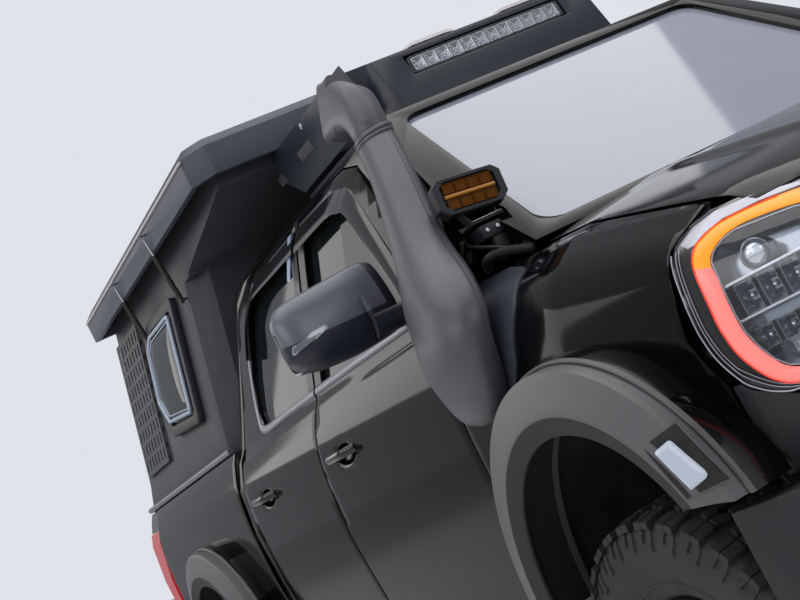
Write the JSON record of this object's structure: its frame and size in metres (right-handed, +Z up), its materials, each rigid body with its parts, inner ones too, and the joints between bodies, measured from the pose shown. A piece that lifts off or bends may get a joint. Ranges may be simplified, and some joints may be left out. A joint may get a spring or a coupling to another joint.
{
  "type": "lifted off-road 4x4",
  "caption": "Lifted double-cab off-road pickup on all-terrain tyres with a pop-up camper on its bed, a snorkel, a roof light bar and a steel front bumper.",
  "frame": {"origin": "on the ground under the midpoint between the front and rear bumper faces, on the centre line", "axes": "+X forward, +Y to the vehicle's left, +Z up"},
  "size_m": [5.37, 2.34, 2.432],
  "materials": {
    "amber_lamp": "amber lens in a black shell",
    "body_paint": "gloss black",
    "bumper_paint": "matte black powder coat",
    "camper_paint": "matte charcoal texture",
    "cast_metal": "as cast",
    "chrome_rod": "polished",
    "dash_plastic": "soft dark grey",
    "fairing_paint": "satin dark blue-grey",
    "flare_plastic": "satin grey",
    "frame_paint": "satin black",
    "glass": "tinted",
    "grille_plastic": "gloss black",
    "lamp_lens": "clear lens over reflectors",
    "light_bar_metal": "black anodised",
    "rim_paint": "satin black",
    "seat_cloth": "woven dark grey",
    "steel": "satin",
    "tail_lens": "clear red",
    "trim_plastic": "fine grain dark grey",
    "tyre": "matte"
  },
  "bodies": {
    "vehicle": {"arch_liners": "trim_plastic", "cab_body": "body_paint", "cab_glass": "glass", "camper_body": "camper_paint", "camper_nose": "fairing_paint", "camper_panels": "camper_paint", "camper_windows": "glass", "chassis_frame": "frame_paint", "dashboard": "dash_plastic", "driveline": "steel", "engine_block": "cast_metal", "fenders": "body_paint", "flares": "flare_plastic", "front_bumper": "bumper_paint", "front_suspension": "cast_metal", "grille": "grille_plastic", "headlights": "lamp_lens", "light_bar": "light_bar_metal", "load_bed": "body_paint", "pod_light": "amber_lamp", "rear_axle": "cast_metal", "rear_bumper": "bumper_paint", "roof_fairing": "fairing_paint", "seats": "seat_cloth", "side_steps": "frame_paint", "snorkel": "trim_plastic", "tail_lights": "tail_lens"},
    "door_front_right": {"door_front_right": "body_paint", "glass_front_right": "glass", "mirror_right": "trim_plastic"},
    "door_rear_right": {"door_rear_right": "body_paint", "glass_rear_right": "glass"},
    "door_front_left": {"door_front_left": "body_paint", "glass_front_left": "glass", "mirror_left": "trim_plastic"},
    "door_rear_left": {"door_rear_left": "body_paint", "glass_rear_left": "glass"},
    "bonnet": {"bonnet": "body_paint"},
    "tailgate": {"tailgate": "body_paint"},
    "camper_hatch": {"camper_door": "camper_paint"},
    "camper_lid": {"camper_lid": "camper_paint"},
    "strut_tube_front_right": {"strut_tube_front_right": "frame_paint"},
    "strut_rod_front_right": {"strut_rod_front_right": "chrome_rod"},
    "strut_tube_front_left": {"strut_tube_front_left": "frame_paint"},
    "strut_rod_front_left": {"strut_rod_front_left": "chrome_rod"},
    "strut_tube_rear_right": {"strut_tube_rear_right": "frame_paint"},
    "strut_rod_rear_right": {"strut_rod_rear_right": "chrome_rod"},
    "strut_tube_rear_left": {"strut_tube_rear_left": "frame_paint"},
    "strut_rod_rear_left": {"strut_rod_rear_left": "chrome_rod"},
    "knuckle_right": {"knuckle_right": "cast_metal"},
    "wheel_front_right": {"tyre_front_right": "tyre", "rim_front_right": "rim_paint"},
    "wheel_rear_right": {"tyre_rear_right": "tyre", "rim_rear_right": "rim_paint"},
    "knuckle_left": {"knuckle_left": "cast_metal"},
    "wheel_front_left": {"tyre_front_left": "tyre", "rim_front_left": "rim_paint"},
    "wheel_rear_left": {"tyre_rear_left": "tyre", "rim_rear_left": "rim_paint"}
  },
  "joints": [
    {"name": "door_front_right_hinge", "type": "hinge", "parent": "vehicle", "child": "door_front_right", "pos_m": [1.256, -0.944, 1], "axis": [0, 0, 1], "range_deg": [0, 65]},
    {"name": "door_rear_right_hinge", "type": "hinge", "parent": "vehicle", "child": "door_rear_right", "pos_m": [0.19, -0.93, 1], "axis": [0, 0, 1], "range_deg": [0, 65]},
    {"name": "door_front_left_hinge", "type": "hinge", "parent": "vehicle", "child": "door_front_left", "pos_m": [1.256, 0.944, 1], "axis": [0, 0, -1], "range_deg": [0, 65]},
    {"name": "door_rear_left_hinge", "type": "hinge", "parent": "vehicle", "child": "door_rear_left", "pos_m": [0.19, 0.93, 1], "axis": [0, 0, -1], "range_deg": [0, 65]},
    {"name": "bonnet_hinge", "type": "hinge", "parent": "vehicle", "child": "bonnet", "pos_m": [1.578, 0, 1.477], "axis": [0, -1, 0], "range_deg": [0, 50]},
    {"name": "tailgate_hinge", "type": "hinge", "parent": "vehicle", "child": "tailgate", "pos_m": [-2.551, 0, 0.955], "axis": [0, -1, 0], "range_deg": [0, 88]},
    {"name": "camper_hatch_hinge", "type": "hinge", "parent": "vehicle", "child": "camper_hatch", "pos_m": [-2.3906, 0, 2.137], "axis": [0, 1, 0], "range_deg": [0, 85]},
    {"name": "lid_lift", "type": "slide", "parent": "vehicle", "child": "camper_lid", "axis": [0, 0, 1], "range_m": [0, 0.18]},
    {"name": "strut_tube_front_right_swing", "type": "hinge", "parent": "vehicle", "child": "strut_tube_front_right", "pos_m": [-0.995, -0.725, 2.078], "axis": [-0.6332, -0.774, 0], "range_deg": [-0.5, 5.84]},
    {"name": "strut_rod_front_right_slide", "type": "slide", "parent": "strut_tube_front_right", "child": "strut_rod_front_right", "axis": [0.1879, -0.1537, 0.9701], "range_m": [-0.001, 0.1777]},
    {"name": "strut_tube_front_left_swing", "type": "hinge", "parent": "vehicle", "child": "strut_tube_front_left", "pos_m": [-0.995, 0.725, 2.078], "axis": [0.6332, -0.774, 0], "range_deg": [-0.5, 5.84]},
    {"name": "strut_rod_front_left_slide", "type": "slide", "parent": "strut_tube_front_left", "child": "strut_rod_front_left", "axis": [0.1879, 0.1537, 0.9701], "range_m": [-0.001, 0.1777]},
    {"name": "strut_tube_rear_right_swing", "type": "hinge", "parent": "vehicle", "child": "strut_tube_rear_right", "pos_m": [-1.69, -0.725, 2.091], "axis": [-0.5812, -0.8137, 0], "range_deg": [-0.5, 6.63]},
    {"name": "strut_rod_rear_right_slide", "type": "slide", "parent": "strut_tube_rear_right", "child": "strut_rod_rear_right", "axis": [0.222, -0.1586, 0.9621], "range_m": [-0.001, 0.1768]},
    {"name": "strut_tube_rear_left_swing", "type": "hinge", "parent": "vehicle", "child": "strut_tube_rear_left", "pos_m": [-1.69, 0.725, 2.091], "axis": [0.5812, -0.8137, 0], "range_deg": [-0.5, 6.63]},
    {"name": "strut_rod_rear_left_slide", "type": "slide", "parent": "strut_tube_rear_left", "child": "strut_rod_rear_left", "axis": [0.222, 0.1586, 0.9621], "range_m": [-0.001, 0.1768]},
    {"name": "steer_right", "type": "hinge", "parent": "vehicle", "child": "knuckle_right", "pos_m": [1.818, -0.745, 0.4155], "axis": [0, 0, 1], "range_deg": [-30, 30]},
    {"name": "wheel_front_right_spin", "type": "hinge", "parent": "knuckle_right", "child": "wheel_front_right", "pos_m": [1.818, -0.8475, 0.4155], "axis": [0, 1, 0], "continuous": true},
    {"name": "wheel_rear_right_spin", "type": "hinge", "parent": "vehicle", "child": "wheel_rear_right", "pos_m": [-1.452, -0.8475, 0.4155], "axis": [0, 1, 0], "continuous": true},
    {"name": "steer_left", "type": "hinge", "parent": "vehicle", "child": "knuckle_left", "pos_m": [1.818, 0.745, 0.4155], "axis": [0, 0, 1], "range_deg": [-30, 30]},
    {"name": "wheel_front_left_spin", "type": "hinge", "parent": "knuckle_left", "child": "wheel_front_left", "pos_m": [1.818, 0.8475, 0.4155], "axis": [0, 1, 0], "continuous": true},
    {"name": "wheel_rear_left_spin", "type": "hinge", "parent": "vehicle", "child": "wheel_rear_left", "pos_m": [-1.452, 0.8475, 0.4155], "axis": [0, 1, 0], "continuous": true}
  ],
  "couplings": [
    {"joint": "strut_tube_front_right_swing", "follows": "lid_lift", "rad_per_m": 0.51787},
    {"joint": "strut_rod_front_right_slide", "follows": "lid_lift", "ratio": 0.98141},
    {"joint": "strut_tube_front_left_swing", "follows": "lid_lift", "rad_per_m": 0.51787},
    {"joint": "strut_rod_front_left_slide", "follows": "lid_lift", "ratio": 0.98141},
    {"joint": "strut_tube_rear_right_swing", "follows": "lid_lift", "rad_per_m": 0.59481},
    {"joint": "strut_rod_rear_right_slide", "follows": "lid_lift", "ratio": 0.97668},
    {"joint": "strut_tube_rear_left_swing", "follows": "lid_lift", "rad_per_m": 0.59481},
    {"joint": "strut_rod_rear_left_slide", "follows": "lid_lift", "ratio": 0.97668},
    {"joint": "steer_right", "follows": "steer_left", "ratio": 1}
  ]
}
